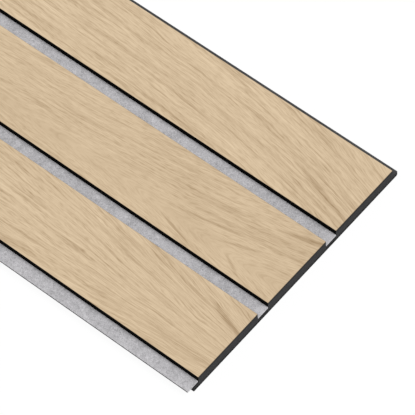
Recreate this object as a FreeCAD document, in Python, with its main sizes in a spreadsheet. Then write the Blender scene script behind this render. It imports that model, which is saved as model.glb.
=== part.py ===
import FreeCAD
import Part
import Sketcher
import os

# Acoustic slat wall panel. One dark fibreboard is milled into wide slats on a common base,
# each slat carries a thin oak face, and a strip of felt lies in every groove. The long edges
# form a half lap: a round-nosed lip on one side goes under the next panel's overhanging felt.
#
# X runs along the slats, Y across them towards the lip, and Z out of the wall, in millimetres.
# The origin is at the middle of the back.

doc = FreeCAD.newDocument("slat_wall_panel")

# Driving sizes
SIZES = {
    "panel_length": 2400,
    "slat_count": 3,
    "slat_width": 85,
    "groove_width": 15,
    "board_thickness": 15.4,
    "base_thickness": 7.4,
    "oak_thickness": 0.6,
    "felt_thickness": 2,
    # room between a felt strip and each wall of its groove
    "felt_side_gap": 0.2,
    # how far the base goes on under the overhanging felt
    "tongue_reach": 7.3,
    "tongue_arris": 0.5,
    # room between the tongue and the lip of the next panel
    "lap_clearance": 0.2,
    "lip_nose_radius": 1.5,
}

sheet = doc.addObject("Spreadsheet::Sheet", "Sizes")
for row, (alias, size) in enumerate(SIZES.items(), start=1):
    sheet.set(f"A{row}", alias)
    sheet.set(f"B{row}", str(size))
    sheet.setAlias(f"B{row}", alias)
doc.recompute()

# Sizes that follow from the driving ones
PITCH = "(Sizes.slat_width + Sizes.groove_width)"
LIP_REACH = "(Sizes.groove_width - Sizes.tongue_reach - Sizes.lap_clearance)"
GROOVE_DEPTH = "(Sizes.board_thickness - Sizes.base_thickness)"
FELT_WIDTH = "(Sizes.groove_width - 2 * Sizes.felt_side_gap)"
BOARD_WIDTH = f"({LIP_REACH} + Sizes.slat_count * {PITCH} - Sizes.groove_width + Sizes.tongue_reach)"
# from the nose of the lip to the free edge of the overhanging felt
OVERALL_WIDTH = f"({LIP_REACH} + Sizes.slat_count * {PITCH} - Sizes.felt_side_gap)"
# outer wall of the first slat, beside the lip
FIRST_WALL = f"({OVERALL_WIDTH} / 2 - {LIP_REACH})"


def value(expression):
    """Number that an expression of the sheet's sizes comes to."""
    return float(sheet.evalExpression(expression))


def new_body(label, y_place, z_place):
    """Body that stands at a given place across the panel and above its back."""
    body = doc.addObject("PartDesign::Body", label)
    body.Label = label
    body.setExpression("Placement.Base.y", y_place)
    body.setExpression("Placement.Base.z", z_place)
    return body


def origin_feature(body, role):
    """Plane or axis of the body's own origin."""
    return next(item for item in body.Origin.OriginFeatures if item.Role == role)


def rectangle(body, name, plane, left, bottom, width, height):
    """Sketched rectangle whose lower left corner and sides are bound to sizes."""
    sketch = body.newObject("Sketcher::SketchObject", name)
    sketch.AttachmentSupport = [(origin_feature(body, plane), "")]
    sketch.MapMode = "FlatFace"

    # drawn about where it belongs, so that the constraints keep every side's direction
    x0 = value(left)
    y0 = value(bottom)
    x1 = x0 + value(width)
    y1 = y0 + value(height)
    corners = [FreeCAD.Vector(x, y, 0) for x, y in ((x0, y0), (x1, y0), (x1, y1), (x0, y1))]
    for side in range(4):
        sketch.addGeometry(Part.LineSegment(corners[side], corners[(side + 1) % 4]))
    for side in range(4):
        sketch.addConstraint(Sketcher.Constraint("Coincident", side, 2, (side + 1) % 4, 1))
    for side in (0, 2):
        sketch.addConstraint(Sketcher.Constraint("Horizontal", side))
    for side in (1, 3):
        sketch.addConstraint(Sketcher.Constraint("Vertical", side))

    origin_point = (-1, 1)
    first_corner = (0, 1)
    bindings = (
        ("DistanceX", origin_point, first_corner, x0, left),
        ("DistanceY", origin_point, first_corner, y0, bottom),
        ("DistanceX", (0, 1), (0, 2), x1 - x0, width),
        ("DistanceY", (1, 1), (1, 2), y1 - y0, height),
    )
    for kind, start, end, drawn, expression in bindings:
        index = sketch.addConstraint(Sketcher.Constraint(kind, *start, *end, drawn))
        sketch.setExpression(f"Constraints[{index}]", expression)
    return sketch


def pad(body, name, sketch, length, side_type):
    """Solid of the sketched section over a length."""
    feature = body.newObject("PartDesign::Pad", name)
    feature.Profile = sketch
    feature.SideType = side_type
    feature.setExpression("Length", length)
    return feature


def mill(body, name, sketch):
    """Cut of the sketched section along the whole panel."""
    feature = body.newObject("PartDesign::Pocket", name)
    feature.Profile = sketch
    feature.Type = "ThroughAll"
    feature.SideType = "Symmetric"
    return feature


def round_long_edges(body, name, base, y_edge, radius):
    """Round the two lengthwise edges of the base that stand at one place across it."""
    doc.recompute()
    places = [(value(y_edge), 0.0), (value(y_edge), value("Sizes.base_thickness"))]
    names = []
    for index, edge in enumerate(base.Shape.Edges, start=1):
        middle = edge.CenterOfMass
        along = edge.BoundBox.XLength > edge.BoundBox.YLength + edge.BoundBox.ZLength
        if along and any(abs(middle.y - y) + abs(middle.z - z) < 1e-6 for y, z in places):
            names.append(f"Edge{index}")
    feature = body.newObject("PartDesign::Fillet", name)
    feature.Base = (base, names)
    feature.setExpression("Radius", radius)
    return feature


def make_core_board():
    """Profiled board. Its sketches start at the outer wall of the first slat, on the back."""
    body = new_body("core_board", FIRST_WALL, "0")
    near_edge = f"({LIP_REACH} - {BOARD_WIDTH})"

    board_section = rectangle(body, "board_section", "YZ_Plane", near_edge, "0",
                              BOARD_WIDTH, "Sizes.board_thickness")
    pad(body, "board", board_section, "Sizes.panel_length", "Symmetric")

    lip_rebate = rectangle(body, "lip_rebate_section", "YZ_Plane", "0", "Sizes.base_thickness",
                           LIP_REACH, GROOVE_DEPTH)
    mill(body, "lip_rebate", lip_rebate)

    # the last groove runs out over the tongue and past the board's edge
    groove_section = rectangle(body, "groove_section", "YZ_Plane", f"-{PITCH}", "Sizes.base_thickness",
                               "Sizes.groove_width", GROOVE_DEPTH)
    groove = mill(body, "groove", groove_section)
    grooves = body.newObject("PartDesign::LinearPattern", "grooves")
    grooves.Originals = [groove]
    grooves.Direction = (origin_feature(body, "Y_Axis"), [""])
    grooves.Reversed = True
    grooves.Mode = "Spacing"
    grooves.setExpression("Offset", PITCH)
    grooves.setExpression("Occurrences", "Sizes.slat_count")
    body.Tip = grooves

    lip_nose = round_long_edges(body, "lip_nose", grooves, LIP_REACH, "Sizes.lip_nose_radius")
    body.Tip = round_long_edges(body, "tongue_nose", lip_nose, near_edge, "Sizes.tongue_arris")
    return body


def make_oak_face(number):
    """Oak face of one slat, counted from the lip."""
    outer_edge = f"({FIRST_WALL} - {number - 1} * {PITCH})"
    body = new_body(f"oak_face_{number}", outer_edge, "Sizes.board_thickness")
    outline = rectangle(body, f"oak_outline_{number}", "XY_Plane", "-Sizes.panel_length / 2",
                        "-Sizes.slat_width", "Sizes.panel_length", "Sizes.slat_width")
    pad(body, f"oak_sheet_{number}", outline, "Sizes.oak_thickness", "One side")
    return body


def make_felt_strip(number):
    """Felt on the floor of one groove, counted from the lip. The last one overhangs the tongue."""
    outer_edge = f"({FIRST_WALL} - {number} * {PITCH} + Sizes.groove_width - Sizes.felt_side_gap)"
    body = new_body(f"felt_strip_{number}", outer_edge, "Sizes.base_thickness")
    outline = rectangle(body, f"felt_outline_{number}", "XY_Plane", "-Sizes.panel_length / 2",
                        f"-{FELT_WIDTH}", "Sizes.panel_length", FELT_WIDTH)
    pad(body, f"felt_sheet_{number}", outline, "Sizes.felt_thickness", "One side")
    return body


slat_numbers = range(1, int(value("Sizes.slat_count")) + 1)
pieces = [make_core_board()]
pieces += [make_oak_face(number) for number in slat_numbers]
pieces += [make_felt_strip(number) for number in slat_numbers]
doc.recompute()

for item in doc.Objects:
    if "Invalid" in item.State or "Error" in item.State:
        raise RuntimeError(f"{item.Label} failed: {item.State}")
for piece in pieces:
    if piece.Shape.isNull() or not piece.Shape.isValid() or len(piece.Shape.Solids) != 1:
        raise RuntimeError(f"{piece.Label} is not one sound solid")

os.makedirs("parts", exist_ok=True)
for piece in pieces:
    piece.Shape.exportStep(f"parts/{piece.Label}.step")
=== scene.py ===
import math

import bpy
from mathutils import Matrix, Vector, noise


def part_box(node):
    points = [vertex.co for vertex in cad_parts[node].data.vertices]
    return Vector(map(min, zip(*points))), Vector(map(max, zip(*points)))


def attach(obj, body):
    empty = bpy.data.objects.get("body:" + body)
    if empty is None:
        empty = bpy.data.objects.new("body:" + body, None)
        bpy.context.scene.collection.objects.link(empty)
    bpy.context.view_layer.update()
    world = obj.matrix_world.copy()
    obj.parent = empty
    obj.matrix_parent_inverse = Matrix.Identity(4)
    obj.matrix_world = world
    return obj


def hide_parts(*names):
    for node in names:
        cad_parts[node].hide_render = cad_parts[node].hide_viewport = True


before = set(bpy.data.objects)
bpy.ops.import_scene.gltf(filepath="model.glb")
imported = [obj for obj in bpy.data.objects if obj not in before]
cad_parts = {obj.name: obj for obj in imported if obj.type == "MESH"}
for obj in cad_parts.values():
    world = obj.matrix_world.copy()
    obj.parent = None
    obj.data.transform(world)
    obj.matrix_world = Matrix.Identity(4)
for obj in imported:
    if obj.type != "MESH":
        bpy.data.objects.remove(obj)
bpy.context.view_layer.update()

# Core board
# One dark board of through-dyed fibreboard, milled from the face into slats on a common base,
# with a round-nosed lip along one edge and a short tongue along the other. The saw leaves the
# ends charcoal grey, darker at their foot with painted contact shade. The back and the lip are
# sanded, and their paler tone is partly the sanded skin and partly painted light on the lip's top.
# The grooves are sprayed black, and drawn darker than real paint as painted shade.

MM = 0.001
slat_count = 3
slat_numbers = range(1, slat_count + 1)
board_low, board_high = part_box("core_board")
oak_boxes = [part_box(f"oak_face_{number}") for number in slat_numbers]
felt_boxes = [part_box(f"felt_strip_{number}") for number in slat_numbers]
slat_pitch = oak_boxes[0][0].y - oak_boxes[1][0].y
groove_width = oak_boxes[0][0].y - oak_boxes[1][1].y
end_x = board_high.x
base_top = felt_boxes[0][0].z
lip_radius = 1.5 * MM
tongue_radius = 0.5 * MM
nose_steps = 6
quarter_turn = 90
smooth_angle = math.radians(40)
board_arris = 0.2 * MM
arris_steps = 2
arris_angle = math.radians(50)


def linear(hex_colour):
    """Linear RGBA of an sRGB hex colour."""
    shares = [int(hex_colour[place:place + 2], 16) / 255 for place in (1, 3, 5)]
    return [s / 12.92 if s <= 0.04045 else ((s + 0.055) / 1.055) ** 2.4 for s in shares] + [1.0]


def node(tree, kind, inputs=None, out=0, **settings):
    """Add a node with its settings, set or join its inputs, and give one of its outputs."""
    added = tree.nodes.new(kind)
    for name, setting in settings.items():
        setattr(added, name, setting)
    for name, source in (inputs or {}).items():
        if isinstance(source, bpy.types.NodeSocket):
            tree.links.new(source, added.inputs[name])
        else:
            added.inputs[name].default_value = source
    return added.outputs[out] if added.outputs else None


def new_finish(name):
    """Empty material, its node tree, and the place on the object in millimetres."""
    material = bpy.data.materials.new(name)
    material.use_nodes = True
    tree = material.node_tree
    tree.nodes.clear()
    place = node(tree, "ShaderNodeTexCoord", out="Object")
    place_mm = node(tree, "ShaderNodeVectorMath", {0: place, "Scale": 1 / MM}, operation="SCALE")
    return material, tree, place_mm


def dyed_fibreboard():
    """Sawn fibreboard, dyed through: dull charcoal with fibre specks, darker in its dense face skin,
    and darker towards its back, partly from its dense back skin and partly as painted contact shade.
    """
    material, tree, place = new_finish("dyed_fibreboard")
    # single fibres are too fine to show, so bundles of them are drawn
    fibre_mm = 0.7
    clump_mm = 5
    speck_span = (0.6, 1.4)
    back_skin_and_shade_mm = 6
    face_skin_mm = 4
    face_skin_share = 0.7
    face_mm = board_high.z / MM
    below_groove_dark_share = 0.45
    fibres = node(tree, "ShaderNodeTexNoise", {"Vector": place, "Scale": 1 / fibre_mm, "Detail": 3.0})
    clumps = node(tree, "ShaderNodeTexNoise", {"Vector": place, "Scale": 1 / clump_mm, "Detail": 2.0})
    specks = node(tree, "ShaderNodeMath", {0: fibres, 1: clumps}, operation="ADD")
    specks = node(tree, "ShaderNodeMapRange",
                  {"Value": specks, "From Min": speck_span[0], "From Max": speck_span[1]})
    tint = node(tree, "ShaderNodeMix", {0: specks, 6: linear("#272728"), 7: linear("#373738")},
                out=2, data_type="RGBA")
    height = node(tree, "ShaderNodeSeparateXYZ", {0: place}, out="Z")
    across = height.node.outputs["Y"]
    # darker towards the back: partly the dense back skin, partly painted contact shade along the foot of
    # the ends
    back_skin_and_foot_shade = node(tree, "ShaderNodeMapRange",
                     {"Value": height, "From Min": back_skin_and_shade_mm, "From Max": 0.0},
                     interpolation_type="SMOOTHSTEP")
    face_skin = node(tree, "ShaderNodeMapRange",
                     {"Value": height, "From Min": face_mm - face_skin_mm, "From Max": face_mm,
                      "To Max": face_skin_share},
                     interpolation_type="SMOOTHSTEP")
    # both skins, with the painted contact shade at the foot
    skins_and_foot_shade = node(tree, "ShaderNodeMath", {0: back_skin_and_foot_shade, 1: face_skin}, operation="MAXIMUM")
    tint = node(tree, "ShaderNodeMix", {0: skins_and_foot_shade, 6: tint, 7: linear("#0c0c0c")},
                out=2, data_type="RGBA")
    # the ends are drawn darker below the grooves, but not below the lip
    from_wall = node(tree, "ShaderNodeMath", {0: oak_boxes[0][0].y / MM, 1: across},
                     operation="SUBTRACT")
    from_wall = node(tree, "ShaderNodeMath", {0: from_wall, 1: slat_pitch / MM},
                     operation="FLOORED_MODULO")
    in_groove = node(tree, "ShaderNodeMath", {0: from_wall, 1: groove_width / MM},
                     operation="LESS_THAN")
    past_lip = node(tree, "ShaderNodeMath", {0: across, 1: oak_boxes[0][1].y / MM},
                    operation="LESS_THAN")
    below_groove_dark = node(tree, "ShaderNodeMath", {0: in_groove, 1: past_lip}, operation="MULTIPLY")
    below_groove_dark = node(tree, "ShaderNodeMapRange", {"Value": below_groove_dark, "To Max": below_groove_dark_share})
    tint = node(tree, "ShaderNodeMix", {0: below_groove_dark, 6: tint, 7: linear("#050505")},
                out=2, data_type="RGBA")
    rough = node(tree, "ShaderNodeMapRange", {"Value": fibres, "To Min": 0.75, "To Max": 0.95})
    bump = node(tree, "ShaderNodeBump", {"Height": fibres, "Strength": 0.4, "Distance": 0.12 * MM})
    shader = node(tree, "ShaderNodeBsdfPrincipled",
                  {"Base Color": tint, "Roughness": rough, "Normal": bump, "Specular IOR Level": 0.15})
    node(tree, "ShaderNodeOutputMaterial", {"Surface": shader})
    return material


def sanded_and_lit_fibreboard():
    """Back and lip of the dyed board: a closed, paler skin with faint lines from the belt sander;
    the paler tone is partly the sanded skin and partly painted light on the lip's top.
    """
    material, tree, place = new_finish("sanded_and_lit_fibreboard")
    # sanding lines are finer than this, and are drawn wider so that they show
    line_mm = 1.2
    line_length_mm = 160
    cloud_mm = 60
    tone_span = (0.6, 1.4)
    lines = node(tree, "ShaderNodeMapping",
                 {"Vector": place, "Scale": (1 / line_length_mm, 1 / line_mm, 0)})
    lines = node(tree, "ShaderNodeTexNoise", {"Vector": lines, "Scale": 1.0, "Detail": 3.0})
    clouds = node(tree, "ShaderNodeTexNoise", {"Vector": place, "Scale": 1 / cloud_mm, "Detail": 3.0})
    tone = node(tree, "ShaderNodeMath", {0: lines, 1: clouds}, operation="ADD")
    tone = node(tree, "ShaderNodeMapRange",
                {"Value": tone, "From Min": tone_span[0], "From Max": tone_span[1]})
    # paler than the sawn ends: partly the sanded skin, partly painted light on the lip's top
    tint = node(tree, "ShaderNodeMix", {0: tone, 6: linear("#363637"), 7: linear("#494949")},
                out=2, data_type="RGBA")
    rough = node(tree, "ShaderNodeMapRange", {"Value": lines, "To Min": 0.6, "To Max": 0.8})
    bump = node(tree, "ShaderNodeBump", {"Height": lines, "Strength": 0.3, "Distance": 0.05 * MM})
    shader = node(tree, "ShaderNodeBsdfPrincipled",
                  {"Base Color": tint, "Roughness": rough, "Normal": bump, "Specular IOR Level": 0.3})
    node(tree, "ShaderNodeOutputMaterial", {"Surface": shader})
    return material


def groove_lacquer_and_shade():
    """Matt black spray on the milled walls, drawn far darker than real paint as painted shade:
    almost no sheen, with the faint grain of overspray.
    """
    material, tree, place = new_finish("groove_lacquer_and_shade")
    # the droplets are finer than this, and are drawn coarser so that they show
    grain_mm = 0.5
    grain = node(tree, "ShaderNodeTexNoise", {"Vector": place, "Scale": 1 / grain_mm, "Detail": 2.0})
    # the near-zero black is partly the spray and partly painted shade on faces turned from the light
    tint = node(tree, "ShaderNodeMix", {0: grain, 6: linear("#020202"), 7: linear("#080808")},
                out=2, data_type="RGBA")
    bump = node(tree, "ShaderNodeBump", {"Height": grain, "Strength": 0.3, "Distance": 0.05 * MM})
    shader = node(tree, "ShaderNodeBsdfPrincipled",
                  {"Base Color": tint, "Roughness": 0.85, "Normal": bump, "Specular IOR Level": 0.04})
    node(tree, "ShaderNodeOutputMaterial", {"Surface": shader})
    return material


def nose(edge_y, radius, outward):
    """Points (y, z) of a rounded edge of the base, from the back up to the base's top."""
    points = []
    for middle_z, start in ((radius, -quarter_turn), (base_top - radius, 0)):
        for step in range(nose_steps + 1):
            angle = math.radians(start + quarter_turn * step / nose_steps)
            points.append((edge_y + outward * radius * (math.cos(angle) - 1),
                           middle_z + radius * math.sin(angle)))
    return points


def loft(name, rings, materials, ring_finish):
    """Closed mesh through a row of like rings of points, with caps of the first finish on both ends."""
    count = len(rings[0])
    points = [point for ring in rings for point in ring]
    faces = []
    finishes = []
    for start in range(0, len(points) - count, count):
        for place in range(count):
            after = (place + 1) % count
            faces.append((start + place, start + after, start + count + after, start + count + place))
            finishes.append(ring_finish[place])
    faces.append(tuple(reversed(range(count))))
    faces.append(tuple(range(len(points) - count, len(points))))
    finishes += [0, 0]
    mesh = bpy.data.meshes.new(name)
    mesh.from_pydata(points, [], faces)
    for material in materials:
        mesh.materials.append(material)
    mesh.polygons.foreach_set("material_index", finishes)
    mesh.shade_smooth()
    mesh.set_sharp_from_angle(angle=smooth_angle)
    piece = bpy.data.objects.new(name, mesh)
    bpy.context.scene.collection.objects.link(piece)
    return piece


def ease_edges(piece, width):
    """Break every sharp edge of a piece by a small round."""
    arris = piece.modifiers.new("arris", "BEVEL")
    arris.width = width
    arris.segments = arris_steps
    arris.limit_method = "ANGLE"
    arris.angle_limit = arris_angle
    arris.harden_normals = True


def board_section():
    """Points (y, z) round the board's section, and the finish of the side that follows each."""
    sawn, lacquered_and_shaded, sanded_and_lit = range(3)
    lip = nose(board_high.y, lip_radius, 1)
    tongue = nose(board_low.y, tongue_radius, -1)
    section = [(point, sanded_and_lit) for point in lip]
    for low, high in oak_boxes:
        section.append(((high.y, base_top), lacquered_and_shaded))
        section.append(((high.y, board_high.z), sawn))
        section.append(((low.y, board_high.z), lacquered_and_shaded))
        section.append(((low.y, base_top), lacquered_and_shaded))
    section += [(point, sawn) for point in reversed(tongue)]
    # the last side is the back
    section[-1] = (section[-1][0], sanded_and_lit)
    return section


section = board_section()
black_lacquer_and_shade = groove_lacquer_and_shade()
core_board = loft("core_board_milled",
                  [[(x, y, z) for (y, z), _ in section] for x in (-end_x, end_x)],
                  [dyed_fibreboard(), black_lacquer_and_shade, sanded_and_lit_fibreboard()],
                  [finish for _, finish in section])
ease_edges(core_board, board_arris)
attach(core_board, "root")
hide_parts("core_board")

# Oak faces
# A thin leaf of flat-sawn oak veneer is glued and pressed on each slat, its grain along the slat,
# then sanded and given a matt clear finish. Every leaf has a figure of its own.

slat_width = oak_boxes[0][1].y - oak_boxes[0][0].y
oak_arris = 0.2 * MM


def leaf_grain(tree, leaf_place, leaf):
    """Tones of a leaf's bands and lines, which follow the year rings, and of its fibres and pores."""
    sway_mm = 10
    sway_size_mm = (260, 60)
    # the grain has its usual spacing where this share of its closing up is left
    usual_share = 0.3
    side_mm = 30
    heart_depth_mm = 2.5
    heart_spacing = 0.35
    heart_edge_mm = 10
    plain_mm = (400, 900)
    band_size_mm = (420, 14)
    line_size_mm = (85, 2.5)
    line_span = (0.4, 0.8)
    # single fibres are too fine to show, so bundles are drawn, and pores twice as wide as real ones
    fibre_size_mm = (32, 1.4)
    pore_size_mm = (9, 0.8)
    pore_span = (0.45, 0.75)
    # near the heart the fine grain fades to this share of itself, over its mean tone
    calm_mm = 14
    calm_share = 0.55
    line_mean = 0.25
    fibre_mean = 0.5
    pore_mean = 0.2

    from_end = node(tree, "ShaderNodeSeparateXYZ", {0: leaf_place}, out="X")
    from_far = from_end.node.outputs["Y"]
    # the figure belongs to the visible end, and further along the leaf is plain
    plain = node(tree, "ShaderNodeMapRange",
                 {"Value": from_end, "From Min": plain_mm[0], "From Max": plain_mm[1]},
                 interpolation_type="SMOOTHSTEP")

    def share_left(fade_mm):
        """Share of a bend in the grain that is left at a distance from the visible end."""
        fade = node(tree, "ShaderNodeMath", {0: from_end, 1: -1 / fade_mm}, operation="MULTIPLY")
        return node(tree, "ShaderNodeMath", {0: fade}, operation="EXPONENT")

    # distance from the heart line, which wanders and may turn aside towards the visible end
    sway = node(tree, "ShaderNodeMapping",
                {"Vector": leaf_place, "Location": (leaf["seed"],) * 3,
                 "Scale": (1 / sway_size_mm[0], 1 / sway_size_mm[1], 0)})
    sway = node(tree, "ShaderNodeTexNoise",
                {"Vector": sway, "Scale": 1.0, "Detail": 4.0, "Roughness": 0.65})
    sway = node(tree, "ShaderNodeMapRange",
                {"Value": sway, "To Min": -leaf["heart"] - sway_mm, "To Max": -leaf["heart"] + sway_mm})
    off_heart = node(tree, "ShaderNodeMath", {0: from_far, 1: sway}, operation="ADD")
    if "turn" in leaf:
        turn_mm, fade_mm = leaf["turn"]
        off_heart = node(tree, "ShaderNodeMath", {0: share_left(fade_mm), 1: -turn_mm, 2: off_heart},
                         operation="MULTIPLY_ADD")
    if "closing" in leaf:
        # the grain closes up towards the visible end
        closing, fade_mm = leaf["closing"]
        usual = 1 / (1 + usual_share * closing)
        spread = node(tree, "ShaderNodeMath", {0: share_left(fade_mm), 1: closing * usual, 2: usual},
                      operation="MULTIPLY_ADD")
        spread = node(tree, "ShaderNodeMix", {0: plain, 2: spread, 3: 1.0})
        off_heart = node(tree, "ShaderNodeMath", {0: off_heart, 1: spread}, operation="MULTIPLY")

    # year ring that the leaf cuts there: over a shallow heart the rings of both sides meet in points
    ring = off_heart
    if "arch" in leaf:
        arch_mm, fade_mm = leaf["arch"]
        square = node(tree, "ShaderNodeMath", {0: ring, 1: ring, 2: heart_depth_mm ** 2},
                      operation="MULTIPLY_ADD")
        ring = node(tree, "ShaderNodeMath", {0: square}, operation="SQRT")
        ring = node(tree, "ShaderNodeMath", {0: share_left(fade_mm), 1: -arch_mm, 2: ring},
                    operation="MULTIPLY_ADD")
    side = node(tree, "ShaderNodeMath", {0: off_heart, 1: 1 / side_mm}, operation="MULTIPLY")
    fibre_place = node(tree, "ShaderNodeCombineXYZ", {0: from_end, 1: ring, 2: side})
    if "arch" in leaf:
        # between the points the leaf lies almost along the rings, so their lines stand further apart
        wide = node(tree, "ShaderNodeMath",
                    {0: ring, 1: heart_spacing, 2: heart_edge_mm * (heart_spacing - 1)},
                    operation="MULTIPLY_ADD")
        ring = node(tree, "ShaderNodeMath", {0: ring, 1: wide}, operation="MAXIMUM")
    ring_place = node(tree, "ShaderNodeCombineXYZ", {0: from_end, 1: ring, 2: side})
    layers = []
    for along, size, detail in ((ring_place, band_size_mm, 2.0), (ring_place, line_size_mm, 2.5),
                                (fibre_place, fibre_size_mm, 2.0), (fibre_place, pore_size_mm, 1.0)):
        stretched = node(tree, "ShaderNodeMapping",
                         {"Vector": along, "Location": (leaf["seed"],) * 3,
                          "Scale": (1 / size[0], 1 / size[1], 1)})
        layers.append(node(tree, "ShaderNodeTexNoise",
                           {"Vector": stretched, "Scale": 1.0, "Detail": detail}))
    bands, lines, fibres, pores = layers
    lines = node(tree, "ShaderNodeMapRange",
                 {"Value": lines, "From Min": line_span[0], "From Max": line_span[1]},
                 interpolation_type="SMOOTHSTEP")
    pores = node(tree, "ShaderNodeMapRange",
                 {"Value": pores, "From Min": pore_span[0], "From Max": pore_span[1]})
    if "arch" in leaf:
        # the fine grain loses itself where the two sides meet
        away = node(tree, "ShaderNodeMath", {0: off_heart}, operation="ABSOLUTE")
        away = node(tree, "ShaderNodeMapRange",
                    {"Value": away, "From Max": calm_mm, "To Min": calm_share},
                    interpolation_type="SMOOTHSTEP")
        away = node(tree, "ShaderNodeMath", {0: away, 1: plain}, operation="MAXIMUM")
        lines = node(tree, "ShaderNodeMix", {0: away, 2: line_mean, 3: lines})
        fibres = node(tree, "ShaderNodeMix", {0: away, 2: fibre_mean, 3: fibres})
        pores = node(tree, "ShaderNodeMix", {0: away, 2: pore_mean, 3: pores})
    return bands, lines, fibres, pores


def matt_oak(name, far_y, leaf):
    """Pale oak under a matt clear coat: long soft lines of grain, fine fibres and short dark pores."""
    material, tree, place = new_finish(name)
    fibre_weight = 0.8
    pore_weight = 0.45
    pore_depth = 0.8
    tone_depth = 1.78
    # a streak reaches this share of its length either way, and this inner share has its full strength
    streak_reach = 0.6
    streak_core = 0.2
    saw_mm = 0.5
    saw_share = 0.9
    spray_mm = 0.3

    # place on the leaf: millimetres from its visible end, and from its far edge
    leaf_place = node(tree, "ShaderNodeMapping",
                      {"Vector": place, "Location": (end_x / MM, far_y / MM, 0), "Scale": (-1, -1, 0)})
    from_end = node(tree, "ShaderNodeSeparateXYZ", {0: leaf_place}, out="X")
    from_far = from_end.node.outputs["Y"]
    bands, lines, fibres, pores = leaf_grain(tree, leaf_place, leaf)
    tone = 0.0
    for layer, weight in ((bands, leaf["band_weight"]), (lines, leaf["line_weight"]),
                          (fibres, fibre_weight), (pores, pore_weight)):
        tone = node(tree, "ShaderNodeMath", {0: layer, 1: weight, 2: tone}, operation="MULTIPLY_ADD")
    # mineral streaks are darker patches of grain
    for (from_x, from_y), (to_x, to_y), half_width, strength in leaf["streaks"]:
        run = Vector((to_x - from_x, to_y - from_y, 0))
        local = node(tree, "ShaderNodeMapping",
                     {"Vector": leaf_place, "Location": ((from_x + to_x) / 2, (from_y + to_y) / 2, 0),
                      "Rotation": (0, 0, math.atan2(run.y, run.x)),
                      "Scale": (run.length * streak_reach, half_width, 1)}, vector_type="TEXTURE")
        from_middle = node(tree, "ShaderNodeVectorMath", {0: local}, out="Value", operation="LENGTH")
        streak = node(tree, "ShaderNodeMapRange",
                      {"Value": from_middle, "From Min": 1.0, "From Max": streak_core,
                       "To Max": strength},
                      interpolation_type="SMOOTHSTEP")
        tone = node(tree, "ShaderNodeMath", {0: tone, 1: streak}, operation="ADD")
    tone = node(tree, "ShaderNodeMapRange",
                {"Value": tone, "From Min": leaf["palest"], "From Max": leaf["palest"] + tone_depth})
    tint = node(tree, "ShaderNodeMix", {0: tone, 6: linear("#e3ccab"), 7: linear("#8d704b")},
                out=2, data_type="RGBA")
    # the saw darkens the leaf's very edge at both ends
    from_cut = node(tree, "ShaderNodeMath", {0: from_end, 1: end_x / MM}, operation="PINGPONG")
    singe = node(tree, "ShaderNodeMapRange",
                 {"Value": from_cut, "From Min": saw_mm, "From Max": 0.0, "To Max": saw_share},
                 interpolation_type="SMOOTHSTEP")
    tint = node(tree, "ShaderNodeMix", {0: singe, 6: tint, 7: linear("#3a2f22")},
                out=2, data_type="RGBA")
    # the groove's lacquer creeps over the long edges
    from_long_edge = node(tree, "ShaderNodeMath", {0: from_far, 1: slat_width / 2 / MM},
                          operation="PINGPONG")
    spray = node(tree, "ShaderNodeMapRange",
                 {"Value": from_long_edge, "From Min": spray_mm, "From Max": 0.0},
                 interpolation_type="SMOOTHSTEP")
    tint = node(tree, "ShaderNodeMix", {0: spray, 6: tint, 7: linear("#0a0a0a")},
                out=2, data_type="RGBA")

    rough = node(tree, "ShaderNodeMapRange", {"Value": fibres, "To Min": 0.5, "To Max": 0.68})
    height = node(tree, "ShaderNodeMath", {0: pores, 1: -pore_depth, 2: fibres},
                  operation="MULTIPLY_ADD")
    bump = node(tree, "ShaderNodeBump", {"Height": height, "Strength": 0.25, "Distance": 0.08 * MM})
    shader = node(tree, "ShaderNodeBsdfPrincipled",
                  {"Base Color": tint, "Roughness": rough, "Normal": bump, "Specular IOR Level": 0.3})
    node(tree, "ShaderNodeOutputMaterial", {"Surface": shader})
    return material


# Each leaf's figure, in millimetres from its visible end and its far edge: where the heart line
# runs, how far it turns aside at that end, how much the grain closes up there or how far it
# arches, each with the length over which it fades. A palest tone and weights set the leaf's colour,
# and each streak has its two ends, its half width and its strength.
leaves = (
    dict(heart=40, turn=(56, 200), closing=(0.15, 200),
         seed=3.1, palest=0.36, band_weight=0.52, line_weight=0.6,
         streaks=(((86, 44.5), (-14, 75.5), 4.0, 0.55), ((30, 47), (-14, 60), 3.0, 0.25),
                  ((207, 3), (140, 15), 2.4, 0.45), ((100, 2), (64, 12), 2.6, 0.2))),
    dict(heart=64, arch=(60, 300),
         seed=7.7, palest=0.13, band_weight=0.24, line_weight=0.42,
         streaks=(((140, 57), (52, 41), 1.7, 0.55), ((146, 68), (94, 82), 1.9, 0.6),
                  ((84, 62), (34, 44), 2.2, 0.4), ((68, 66), (36, 82), 2.2, 0.4),
                  ((44, 18), (-18, 1), 4.2, 0.5), ((165, 38), (-20, 19), 6.0, 0.2),
                  ((345, 44), (270, 48), 3.4, 0.3))),
    dict(heart=60, closing=(3.5, 150),
         seed=13.77, palest=0.22, band_weight=0.28, line_weight=0.6,
         streaks=(((50, 11), (-20, 35), 4.0, 0.6), ((36, 2), (-16, 14), 6.0, 0.2),
                  ((132, 6), (86, 13), 2.2, 0.25), ((100, 66), (-40, 70), 7.0, 0.15))),
)
# the underside and the top are oak, and the long sides are sprayed with the grooves, in the same
# black that also holds painted shade
oak_finish = [0, 1, 0, 1]
for number, (low, high), leaf in zip(slat_numbers, oak_boxes, leaves):
    corners = [(low.y, low.z), (high.y, low.z), (high.y, high.z), (low.y, high.z)]
    oak_face = loft(f"oak_leaf_{number}",
                    [[(x, y, z) for y, z in corners] for x in (low.x, high.x)],
                    [matt_oak(f"matt_oak_{number}", high.y, leaf), black_lacquer_and_shade],
                    oak_finish)
    ease_edges(oak_face, oak_arris)
    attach(oak_face, "root")
    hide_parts(f"oak_face_{number}")

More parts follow.
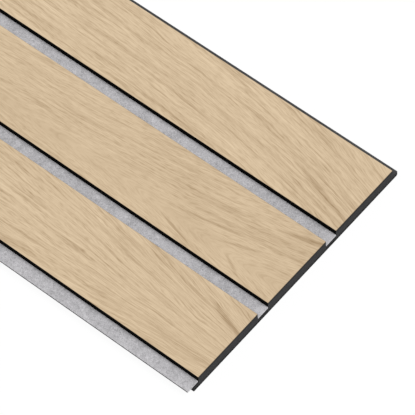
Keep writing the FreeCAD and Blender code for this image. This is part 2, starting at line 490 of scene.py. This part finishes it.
# Felt strips
# Light grey polyester fibres, needled and pressed into a soft sheet, slit into strips and glued
# on the groove floors. The top stays slightly uneven, and the slit sides are a darker copy of the
# felt, as painted shade.

felt_step = 1.2 * MM
felt_steps_across = 14
felt_relief = 0.12 * MM
felt_lump = 3.5 * MM
# how the finer layers of lumps fade, how much finer each is, and how many layers there are
lump_smoothness = 1.0
lump_ratio = 2.0
lump_layers = 3
# how far each strip stops short of the board's ends
felt_trims = (0.1 * MM, 0.1 * MM, 0.7 * MM)


def pressed_felt(name, dark, light):
    """Needled polyester: a fine mottle of light and dark tufts over faint clouds, with no gloss."""
    material, tree, place = new_finish(name)
    # single hairs are far too fine to show, so small tufts of them are drawn instead
    tuft_mm = 1.9
    cloud_mm = 14
    cloud_weight = 0.4
    tone_span = (0.45, 0.95)
    tufts = node(tree, "ShaderNodeTexNoise",
                 {"Vector": place, "Scale": 1 / tuft_mm, "Detail": 4.0, "Distortion": 1.5})
    clouds = node(tree, "ShaderNodeTexNoise",
                  {"Vector": place, "Scale": 1 / cloud_mm, "Detail": 2.0, "Distortion": 0.8})
    tone = node(tree, "ShaderNodeMath", {0: clouds, 1: cloud_weight, 2: tufts},
                operation="MULTIPLY_ADD")
    tone = node(tree, "ShaderNodeMapRange",
                {"Value": tone, "From Min": tone_span[0], "From Max": tone_span[1]})
    tint = node(tree, "ShaderNodeMix", {0: tone, 6: linear(dark), 7: linear(light)},
                out=2, data_type="RGBA")
    bump = node(tree, "ShaderNodeBump", {"Height": tufts, "Strength": 0.6, "Distance": 0.25 * MM})
    shader = node(tree, "ShaderNodeBsdfPrincipled",
                  {"Base Color": tint, "Roughness": 0.95, "Normal": bump, "Specular IOR Level": 0.1,
                   "Sheen Weight": 0.1})
    node(tree, "ShaderNodeOutputMaterial", {"Surface": shader})
    return material


def felt_rings(low, high, trim):
    """Rings of points along a strip: a flat underside and a top that rises and falls a little."""
    start = low.x + trim
    length = high.x - trim - start
    steps = round(length / felt_step)
    rings = []
    for step in range(steps + 1):
        x = start + length * step / steps
        ring = [(x, low.y, low.z), (x, high.y, low.z)]
        for place in range(felt_steps_across + 1):
            y = high.y + (low.y - high.y) * place / felt_steps_across
            lump = noise.fractal(Vector((x, y, 0)) / felt_lump, lump_smoothness, lump_ratio, lump_layers)
            ring.append((x, y, high.z + felt_relief * (min(lump, 1.0) - 1.0)))
        rings.append(ring)
    return rings


# the second copy goes on the slit sides: the same felt, darker, as painted shade on faces turned from
# the light
felts = [pressed_felt("pressed_felt", "#969597", "#d3d1d4"),
         pressed_felt("slit_felt_painted_shade", "#3c3c3f", "#545356")]
# underside, slit side, the strips of the top, and the other slit side
felt_finish = [0, 1] + [0] * felt_steps_across + [1]
for number, (low, high), trim in zip(slat_numbers, felt_boxes, felt_trims):
    strip = loft(f"felt_{number}", felt_rings(low, high, trim), felts, felt_finish)
    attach(strip, "root")
    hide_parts(f"felt_strip_{number}")

# Floor, light and camera
# A wide pale floor in soft studio light, brightest from beyond the cut end, and the camera that
# looks down along the panel.

floor_half = 60.0
# a hair below the panel's back, so that the two never lie in one plane
floor_z = -0.1 * MM
floor_glow = 0.935
floor_corners = [(-floor_half, -floor_half, floor_z), (floor_half, -floor_half, floor_z),
                 (floor_half, floor_half, floor_z), (-floor_half, floor_half, floor_z)]
floor_mesh = bpy.data.meshes.new("floor")
floor_mesh.from_pydata(floor_corners, [], [(0, 1, 2, 3)])
floor = bpy.data.objects.new("floor", floor_mesh)
bpy.context.scene.collection.objects.link(floor)
# white backdrop, lit through: an even glow, with just enough paint to take a faint shadow
floor_paint, tree, _ = new_finish("white_floor")
lit = node(tree, "ShaderNodeBsdfPrincipled",
           {"Base Color": linear("#4a4a4a"), "Roughness": 0.9, "Specular IOR Level": 0.0,
            "Emission Color": linear("#ffffff"), "Emission Strength": floor_glow})
# seen from below, the floor is clear and shows the panel's back
clear = node(tree, "ShaderNodeBsdfTransparent")
below = node(tree, "ShaderNodeNewGeometry", out="Backfacing")
shader = node(tree, "ShaderNodeMixShader", {0: below, 1: lit, 2: clear})
node(tree, "ShaderNodeOutputMaterial", {"Surface": shader})
# the floor is too wide and too near the panel's back to be aimed at as a lamp
floor_paint.cycles.emission_sampling = "NONE"
floor_mesh.materials.append(floor_paint)

sky_strength = 0.45
world = bpy.data.worlds.new("studio")
world.use_nodes = True
world.node_tree.nodes.clear()
sky = node(world.node_tree, "ShaderNodeBackground",
           {"Color": linear("#ffffff"), "Strength": sky_strength})
node(world.node_tree, "ShaderNodeOutputWorld", {"Surface": sky})
bpy.context.scene.world = world
bpy.context.scene.view_settings.view_transform = "Standard"

key_from = Vector((0.5, 0.11, 0.85))
key = bpy.data.lights.new("key", "SUN")
key.energy = 2.2
key.angle = math.radians(40)
key_object = bpy.data.objects.new("key", key)
key_object.rotation_euler = key_from.to_track_quat("Z", "Y").to_euler()
bpy.context.scene.collection.objects.link(key_object)

photo_side = 415
focal_px = 3402.4
sensor_mm = 36
far_clip = 200
azimuth = math.radians(-43.22)
elevation = math.radians(56.735)
roll = math.radians(4.298)
# where the near corner of the first slat's cut end lies in the picture, and how far off it is
corner = Vector((end_x, oak_boxes[0][0].y, oak_boxes[0][1].z))
corner_px = (336.06, 230.82)
corner_depth = 3.152

ahead = Vector((math.sin(azimuth) * math.cos(elevation), math.cos(azimuth) * math.cos(elevation),
                -math.sin(elevation)))
level = Vector((math.cos(azimuth), -math.sin(azimuth), 0))
down = ahead.cross(level)
right = level * math.cos(roll) + down * math.sin(roll)
down = down * math.cos(roll) - level * math.sin(roll)
offset = [(pixel - photo_side / 2) / focal_px * corner_depth for pixel in corner_px]
eye = corner - right * offset[0] - down * offset[1] - ahead * corner_depth
camera_data = bpy.data.cameras.new("camera")
camera_data.sensor_width = sensor_mm
camera_data.lens = focal_px / photo_side * sensor_mm
camera_data.clip_end = far_clip
camera = bpy.data.objects.new("camera", camera_data)
camera.matrix_world = Matrix.Translation(eye) @ Matrix((right, -down, -ahead)).transposed().to_4x4()
bpy.context.scene.collection.objects.link(camera)
bpy.context.scene.camera = camera
